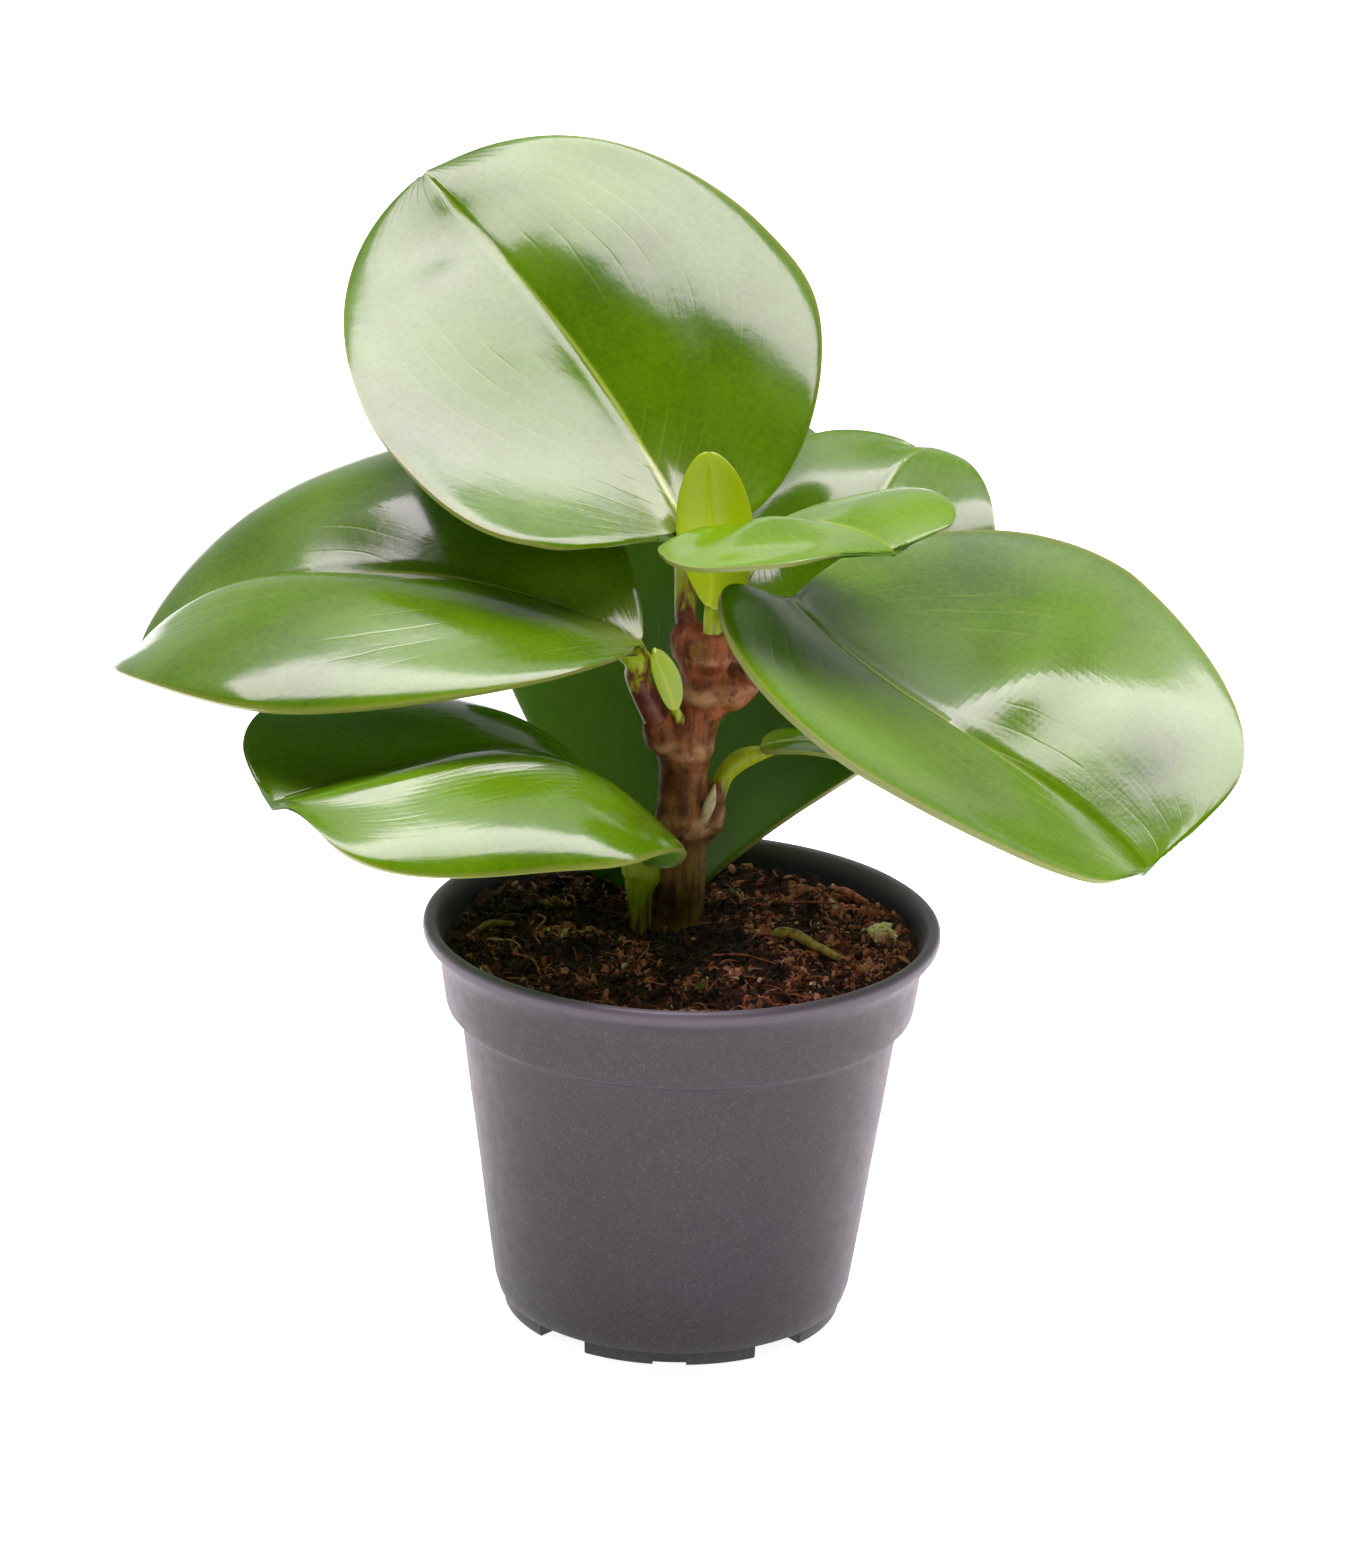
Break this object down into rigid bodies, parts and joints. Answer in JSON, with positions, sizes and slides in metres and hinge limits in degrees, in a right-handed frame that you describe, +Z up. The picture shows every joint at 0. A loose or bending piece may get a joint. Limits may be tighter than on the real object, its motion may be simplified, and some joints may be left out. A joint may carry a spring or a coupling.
{
  "type": "potted peperomia",
  "caption": "Young upright peperomia with glossy, cupped oval leaves on a short brown ringed stem, in a small round tapered nursery pot of dark soil.",
  "frame": {"origin": "middle of the pot's underside, on the ground", "axes": "+Z up; -Y is the side that the picture is taken from, with +X to its right"},
  "size_m": [0.1534, 0.0973, 0.1507],
  "materials": {
    "pot": "satin",
    "soil": "matte",
    "bark": "matte",
    "leaf": "gloss",
    "leaf_new": "gloss",
    "bud": "satin",
    "chip": "matte"
  },
  "bodies": {
    "root": {"pot": "pot", "soil": "soil", "main_stem": "bark", "leaf_top": "leaf", "leaf_young": "leaf_new", "leaf_small": "leaf", "leaf_right": "leaf", "leaf_back_right": "leaf", "leaf_left": "leaf", "leaf_low_left": "leaf", "leaf_back": "leaf", "leaf_hidden": "leaf", "leaf_axil": "leaf_new", "bud": "bud", "twig_green": "bark", "twig_tan": "bark", "twig_red": "bark", "chip_pale": "chip"}
  },
  "joints": []
}
